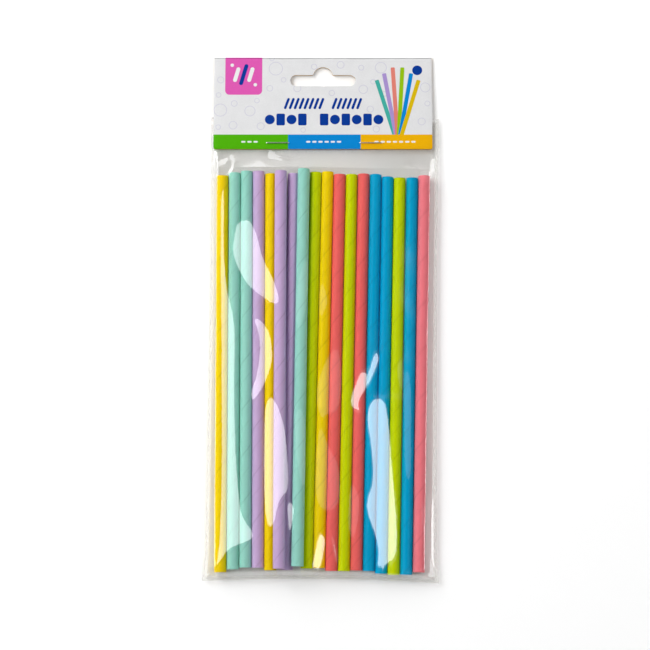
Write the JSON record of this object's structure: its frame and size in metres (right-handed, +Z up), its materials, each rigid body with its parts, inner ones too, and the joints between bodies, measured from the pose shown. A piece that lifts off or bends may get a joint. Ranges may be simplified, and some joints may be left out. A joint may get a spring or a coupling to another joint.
{
  "type": "bagged pack of paper drinking straws",
  "caption": "Coloured paper drinking straws lying side by side in a clear film bag, closed by a folded and stapled header card with a hang hole.",
  "frame": {"origin": "on the plane the pack lies on, under the middle of the pack's box", "axes": "+Z up out of the front of the pack, +Y along the straws towards the header card, +X across the row to the right of the front"},
  "size_m": [0.1174, 0.2648, 0.0116],
  "materials": {
    "board": "satin",
    "film": "gloss",
    "staple_wire": "satin",
    "paper_lemon": "matte",
    "paper_mint": "matte",
    "paper_lilac": "matte",
    "paper_lime": "matte",
    "paper_coral": "matte",
    "paper_sky": "matte",
    "paper_rose": "matte"
  },
  "bodies": {
    "root": {"header_card": "board", "bag": "film", "staple_left": "staple_wire", "staple_right": "staple_wire", "straw_01": "paper_lemon", "straw_02": "paper_mint", "straw_03": "paper_mint", "straw_04": "paper_lilac", "straw_05": "paper_lemon", "straw_06": "paper_lilac", "straw_07": "paper_lilac", "straw_08": "paper_mint", "straw_09": "paper_lime", "straw_10": "paper_lemon", "straw_11": "paper_coral", "straw_12": "paper_lime", "straw_13": "paper_coral", "straw_14": "paper_sky", "straw_15": "paper_sky", "straw_16": "paper_lime", "straw_17": "paper_sky", "straw_18": "paper_rose"}
  },
  "joints": []
}
